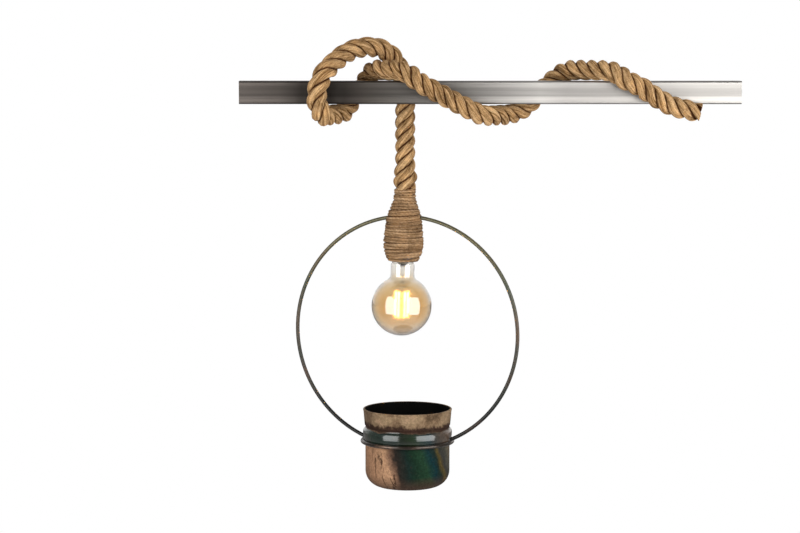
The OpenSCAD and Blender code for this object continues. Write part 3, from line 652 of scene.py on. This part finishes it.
def strand_rings(number):
    """Vertices, uv and tint of one strand along the whole rope, ring by ring; tint is painted shade, darker
    in the crevices.
    """
    heading, side, other = ROPE_FRAMES
    s = np.arange(len(ROPE_PATH)) * ROPE_STEP
    end = s[-1] - s
    from_binding = s - (BINDING_TOP.z - DROP_END)
    bulge = 1 + BULGE * np.exp(-((from_binding - BULGE_REACH) / BULGE_REACH) ** 2)
    angle = lay_angle(s) + 2 * math.pi * number / STRANDS
    # The last stretch draws in, and each strand is cut a little shorter than the next
    cut = np.clip((end + (number - 2) * 0.0035) / 0.016, 0, 1)
    full = ROPE_R * STRAND_SHARE * (1 + 0.035 * wave(s / 0.021, 11 + number)) * bulge
    strand_r = full * (0.72 + 0.28 * np.sqrt(cut))
    reach = (ROPE_R * bulge - strand_r) * (0.93 + 0.07 * cut) - 0.1 * MM
    out = np.cos(angle)[:, None] * side + np.sin(angle)[:, None] * other
    across = np.cross(heading, out)
    middle = ROPE_PATH + reach[:, None] * out
    # The seam of the section lies inside the rope, out of sight
    phi = math.pi + 2 * math.pi * np.arange(STRAND_SIDES) / STRAND_SIDES
    yarn_turn = 2 * math.pi * s / YARN_LAY + 0.3 * wave(s / 0.03, 17 + number)
    yarn = phi[None, :] + yarn_turn[:, None]
    lobes = np.abs(np.sin(YARNS / 2 * yarn))
    rough = 0.014 * wave(5 * yarn + 70 * s[:, None], 30 + number)
    swell = 1 + YARN_DEPTH * (lobes - 0.6) + rough
    # Squashed where it leans on its neighbours: wider across than it is deep
    x = np.cos(phi)[None, :] * strand_r[:, None] * swell
    y = 1.08 * np.sin(phi)[None, :] * strand_r[:, None] * swell
    points = middle[:, None, :] + x[:, :, None] * out[:, None, :] + y[:, :, None] * across[:, None, :]
    # Painted shade: darker deep between the strands and in the grooves between the yarns
    away = np.linalg.norm(points - ROPE_PATH[:, None, :], axis=2) / (ROPE_R * bulge[:, None])
    painted_shade_factor = np.clip((away - 0.69) / 0.13, 0, 1) * (0.80 + 0.20 * np.clip(lobes * 1.6, 0, 1))
    uv = np.stack(np.broadcast_arrays(yarn * ROPE_R * STRAND_SHARE + number * 0.1, s[:, None]), 2)
    return points, uv, painted_shade_factor


ROPE_STRANDS = [strand_rings(number) for number in range(STRANDS)]


def rope_piece(name, first, last):
    """The three strands between two rings of the rope's path, as one mesh."""
    verts, faces, uvs, painted_shade_factors = [], [], [], []
    rings = last - first + 1
    for points, uv, painted_shade_factor in ROPE_STRANDS:
        part = points[first:last + 1].reshape(-1, 3)
        start = len(verts) * rings * STRAND_SIDES
        verts.append(part)
        uvs.append(uv[first:last + 1].reshape(-1, 2))
        # The painted crevice shade of each vertex
        painted_shade_factors.append(painted_shade_factor[first:last + 1].reshape(-1))
        faces += grid_faces(rings, STRAND_SIDES, start)
    return new_object(name, np.vstack(verts), faces, ROPE, uv=np.vstack(uvs), painted_shade_factor=np.concatenate(painted_shade_factors))


def ring_at_height(z):
    """The first ring of the path whose centre is above z."""
    return int(np.argmax(ROPE_PATH[:, 2] > z))


LINK_RING = ring_at_height(SEAM_LINK)
RAIL_RING = ring_at_height(SEAM_RAIL)
LAST_RING = len(ROPE_PATH) - 1

rope_hitch = rope_piece("rope_hitch", RAIL_RING, LAST_RING)
rope_bend = rope_piece("rope_bend", LINK_RING, RAIL_RING)
rope_hang = rope_piece("rope_hang", 0, LINK_RING)


def fuzz(name, first, last, count, seed, reach=2.2 * MM):
    """Short curled jute hairs that stand off the strands."""
    r = random.Random(seed)
    verts, faces = [], []
    heading, _, _ = ROPE_FRAMES
    for _ in range(count):
        points, _, painted_shade_factor = ROPE_STRANDS[r.randrange(STRANDS)]
        i = r.randrange(first + 1, last - 1)
        k = r.randrange(STRAND_SIDES)
        # Hairs grow only where the painted crevice shade is light, on the crowns
        if painted_shade_factor[i, k] < 0.55:
            continue
        root = points[i, k]
        out = root - ROPE_PATH[i]
        out /= np.linalg.norm(out)
        along = heading[i] * r.choice((-1, 1))
        turn = np.cross(out, along)
        lean = along * r.uniform(0.5, 1.4) + turn * r.uniform(-0.7, 0.7) + out * r.uniform(0.25, 0.9)
        length = reach * r.uniform(0.5, 1.6)
        curl = out * r.uniform(-0.6, 0.5) + turn * r.uniform(-0.6, 0.6)
        thick = r.uniform(0.045, 0.085) * MM
        add_hair(verts, faces, root - out * 0.2 * MM, lean, curl, length, thick)
    return new_object(name, verts, faces, ROPE, uv=[(v[0], v[2]) for v in verts], painted_shade_factor=[1.0] * len(verts))


def add_hair(verts, faces, root, lean, curl, length, thick):
    """One hair: a thin three-sided tapering tube with a curl."""
    lean = lean / np.linalg.norm(lean)
    side = np.cross(lean, [0.31, 0.77, 0.55])
    side /= np.linalg.norm(side)
    other = np.cross(lean, side)
    first = len(verts)
    steps = 4
    for j in range(steps):
        t = j / (steps - 1)
        centre = root + lean * length * t + curl * length * t * t * 0.5
        radius = thick * (1 - 0.8 * t)
        for k in range(3):
            a = 2 * math.pi * k / 3
            verts.append(centre + radius * (math.cos(a) * side + math.sin(a) * other))
    faces += grid_faces(steps, 3, first)


hitch_fuzz = fuzz("hitch_fuzz", RAIL_RING, LAST_RING, 3600, 3)
bend_fuzz = fuzz("bend_fuzz", LINK_RING, RAIL_RING, 260, 4)
hang_fuzz = fuzz("hang_fuzz", 0, LINK_RING, 420, 5)

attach(rope_hitch, "rail")
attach(hitch_fuzz, "rail")
for piece in (rope_bend, bend_fuzz):
    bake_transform(piece)
for piece in (rope_hang, hang_fuzz):
    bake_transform(piece)
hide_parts("rope_on_rail")
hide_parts("rope_link")
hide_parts("rope_drop")

# ---- twine binding -------------------------------------------------------------------

TWINE_R = 2.25 * MM
TWINE_PITCH = 4.0 * MM
TWINE_SIDES = 14
TWINE_SWELL = 1.14     # drawn radius of the twine, of TWINE_R
PLY_LAY = 11 * MM      # length of one turn of the two plies
TURN_STEPS = 72        # points in one turn round the holder
FIRST_TURN = 0.7 * MM  # from the top to the edge of the first turn
TWINE_HIGH = 2.6 * MM  # least and greatest depth of the twine's middle
TWINE_LOW = 96.4 * MM
# Depth below its top and outer radius, in millimetres
BINDING_OUTLINE = ((0, 14.3), (8, 14.2), (15, 14.8), (21, 16.2), (28, 18.9), (35, 21.6), (42, 23.6),
                   (49, 24.6), (57, 25.1), (64, 25.9), (71, 26.6), (77, 26.7), (83, 25.9), (88, 24.8),
                   (92, 23.4), (95.5, 21.4), (99.3, 18.6))


def binding_radius(depth):
    """Outer radius of the binding at a depth below its top."""
    return np.interp(depth, [d * MM for d, _ in BINDING_OUTLINE], [r * MM for _, r in BINDING_OUTLINE])


def holder_point(depth, radius, angle):
    """A point round the lampholder's leaning axis."""
    down = HOLDER_AXIS
    side = Vector((1, 0, 0)) - down * down.x
    side.normalize()
    back = down.cross(side)
    around = side * math.cos(angle) + back * math.sin(angle)
    return BINDING_TOP + down * depth + around * radius


def twine_turns():
    """One length of twine wound from the neck down to the mouth."""
    turns = (BINDING_OUTLINE[-1][0] * MM - TWINE_R - 0.5 * MM) / TWINE_PITCH
    count = int(turns * TURN_STEPS)
    path = []
    for i in range(count + 1):
        turn = i / TURN_STEPS
        depth = FIRST_TURN + TWINE_R + turn * TWINE_PITCH
        a = 2 * math.pi * turn
        depth += 0.9 * MM * float(wave(np.array(a / 2.3), 21)) + 0.8 * MM * math.sin(a + 0.5 * turn)
        depth = min(max(depth, TWINE_HIGH), TWINE_LOW)
        r = float(binding_radius(depth)) - TWINE_R + 0.35 * MM * float(wave(np.array(a / 1.7), 22))
        path.append(holder_point(depth, r, a))
    return np.array([tuple(p) for p in path])


def twisted_cord(path, radius, lay, sides, seed, plies=2, groove=0.20):
    """A two-ply twine swept along a path."""
    _, side, other = path_frames(path)
    s = np.concatenate([[0], np.cumsum(np.linalg.norm(np.diff(path, axis=0), axis=1))])
    phi = 2 * math.pi * np.arange(sides) / sides
    turn = 2 * math.pi * s / lay
    ply = np.abs(np.cos(plies / 2 * (phi[None, :] - turn[:, None])))
    r = radius * (1 - groove + groove * ply) * (1 + 0.05 * wave(s / 0.006, seed))[:, None]
    points = (path[:, None, :] + (np.cos(phi)[None, :] * r)[:, :, None] * side[:, None, :]
              + (np.sin(phi)[None, :] * r)[:, :, None] * other[:, None, :])
    uv = np.stack(np.broadcast_arrays(phi[None, :] * radius + seed * 0.01, s[:, None]), 2)
    return points, uv, ply


def binding_piece():
    """The wound twine, with painted shade that darkens it towards the holder and between its plies."""
    path = twine_turns()
    points, uv, ply = twisted_cord(path, TWINE_R * TWINE_SWELL, PLY_LAY, TWINE_SIDES, 7)
    axis_points = np.array([tuple(BINDING_TOP + HOLDER_AXIS * (Vector(p) - BINDING_TOP).dot(HOLDER_AXIS))
                            for p in path])
    away = np.linalg.norm(points - axis_points[:, None, :], axis=2)
    inner = np.linalg.norm(path - axis_points, axis=1)[:, None]
    # Painted shade: darker on the side towards the holder and in the grooves between the plies
    painted_shade_factor = np.clip((away - inner + 0.2 * MM) / (1.9 * MM), 0, 1) * (0.72 + 0.28 * ply)
    faces = grid_faces(len(path), TWINE_SIDES)
    piece = new_object("twine_winding", points.reshape(-1, 3), faces, TWINE,
                       uv=uv.reshape(-1, 2), painted_shade_factor=painted_shade_factor.reshape(-1))
    return piece, points


twine_winding, twine_points = binding_piece()


def binding_under():
    """The layer under the outer turns, so that no gap shows between them, painted dark as the shade between
    the turns.
    """
    depths = np.linspace(1.2 * MM, 97.4 * MM, 60)
    outer = [(float(binding_radius(d)) - 2.6 * MM, d) for d in depths]
    inner = [(float(binding_radius(d)) - 3.6 * MM, d) for d in reversed(depths)]
    piece = revolve("twine_under", outer + inner, BINDING_TOP, HOLDER_AXIS, TWINE, 72)
    # Painted shade: the whole layer is set at 0.1, close to the darkest crevice shade
    layer = piece.data.attributes.new("painted_shade_factor", "FLOAT", "POINT")
    layer.data.foreach_set("value", np.full(len(piece.data.vertices), 0.1, np.float32))
    return piece


twine_under = binding_under()


def twine_fuzz(count, seed):
    """Loose hairs that stand off the outer side of the twine."""
    r = random.Random(seed)
    verts, faces = [], []
    rings = len(twine_points)
    for _ in range(count):
        i = r.randrange(2, rings - 2)
        k = r.randrange(TWINE_SIDES)
        root = twine_points[i, k]
        depth = (Vector(root) - BINDING_TOP).dot(HOLDER_AXIS)
        centre = np.array(tuple(BINDING_TOP + HOLDER_AXIS * depth))
        out = root - centre
        distance = np.linalg.norm(out)
        if distance < float(binding_radius(depth)) - 1.2 * MM:
            continue
        out /= distance
        along = twine_points[i + 1, k] - twine_points[i, k]
        along /= np.linalg.norm(along)
        lean = along * r.choice((-1, 1)) + out * r.uniform(0.15, 0.8) + np.array([0, 0, r.uniform(-0.5, 0.5)])
        curl = out * r.uniform(-0.5, 0.4)
        add_hair(verts, faces, root - out * 0.2 * MM, lean, curl, r.uniform(0.8, 2.8) * MM,
                 r.uniform(0.04, 0.075) * MM)
    return new_object("twine_fuzz", verts, faces, TWINE, uv=[(v[0], v[2]) for v in verts],
                      painted_shade_factor=[1.0] * len(verts))


binding_hairs = twine_fuzz(2600, 8)
for piece in (twine_winding, twine_under, binding_hairs):
    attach(piece, "lantern")
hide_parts("jute_binding")

# ---- stage, light and world ----------------------------------------------------------

FLOOR_DROP = 0.45
FLOOR_SIZE = 14
FILL_LIGHT = 0.22     # strength of the light from the front and the sides
BACK_LIGHT = 0.95     # strength of the light from the white background
BACK_START = 0.45     # Y of a direction where the background's light begins
BACK_FULL = 0.88      # Y of a direction where it is full


def seen_directly(tree):
    """1 for what the camera sees directly or through glass, else 0."""
    path = tree.nodes.new("ShaderNodeLightPath")
    seen = tree.nodes.new("ShaderNodeMath")
    seen.operation = "MAXIMUM"
    tree.links.new(path.outputs["Is Camera Ray"], seen.inputs[0])
    tree.links.new(path.outputs["Is Transmission Ray"], seen.inputs[1])
    return seen.outputs[0]


def make_floor():
    """A pale floor that shows as white as the background, and lights the object from below."""
    m = Nodes("floor")
    m.set(Base_Color=(0.45, 0.45, 0.45, 1), Roughness=0.9)
    white = m.add("ShaderNodeEmission")
    both = m.add("ShaderNodeMixShader")
    m.link(seen_directly(m.tree), both.inputs[0])
    m.link(m.shader.outputs[0], both.inputs[1])
    m.link(white.outputs[0], both.inputs[2])
    m.link(both.outputs[0], m.tree.nodes["Material Output"].inputs["Surface"])
    z = cad_low[2] - FLOOR_DROP
    far = FLOOR_SIZE
    corners = [(-far, -far, z), (far, -far, z), (far, far, z), (-far, far, z)]
    new_object("floor", corners, [(0, 1, 2, 3)], m.material, smooth=False)


def area_light(name, place, aim, size, power, colour=(1, 1, 1)):
    data = bpy.data.lights.new(name, "AREA")
    data.shape = "RECTANGLE"
    data.size, data.size_y = size
    data.energy = power
    data.color = colour
    lamp = bpy.data.objects.new(name, data)
    bpy.context.scene.collection.objects.link(lamp)
    lamp.location = place
    lamp.rotation_euler = (Vector(aim) - Vector(place)).to_track_quat("-Z", "Y").to_euler()
    lamp.visible_camera = False
    lamp.visible_transmission = False
    return lamp


def softbox(name, azimuth, distance, width, height, power):
    """A tall softbox in front of the lamp, turned towards it. Azimuth is from the front, to the right."""
    middle = Vector((DROP_X, DROP_Y, glass_low.z + 0.11))
    turn = math.radians(azimuth)
    place = middle + Vector((math.sin(turn), -math.cos(turn), 0)) * distance
    area_light(name, place, middle, (width, height), power)


def make_world():
    """White behind the object, and a dimmer grey light all round it."""
    world = bpy.data.worlds.new("studio")
    bpy.context.scene.world = world
    world.use_nodes = True
    tree = world.node_tree
    background = tree.nodes["Background"]
    strength = tree.nodes.new("ShaderNodeMapRange")
    ways = tree.nodes.new("ShaderNodeTexCoord")
    parts = tree.nodes.new("ShaderNodeSeparateXYZ")
    round_light = tree.nodes.new("ShaderNodeMapRange")
    tree.links.new(ways.outputs["Generated"], parts.inputs[0])
    tree.links.new(parts.outputs["Y"], round_light.inputs["Value"])
    for key, number in (("From Min", BACK_START), ("From Max", BACK_FULL),
                        ("To Min", FILL_LIGHT), ("To Max", BACK_LIGHT)):
        round_light.inputs[key].default_value = number
    tree.links.new(round_light.outputs["Result"], strength.inputs["To Min"])
    strength.inputs["To Max"].default_value = 1.0
    tree.links.new(seen_directly(tree), strength.inputs["Value"])
    tree.links.new(strength.outputs["Result"], background.inputs["Strength"])
    background.inputs["Color"].default_value = (1, 1, 1, 1)


make_floor()
make_world()
softbox("softbox_left", -44, 1.05, 0.79, 1.2, 11)
softbox("softbox_right", 48, 1.05, 1.0, 1.2, 15)
top_light = area_light("top_light", (DROP_X, -0.3, 1.6), (DROP_X, 0.0, -0.2), (1.4, 1.4), 14)
top_light.visible_glossy = False
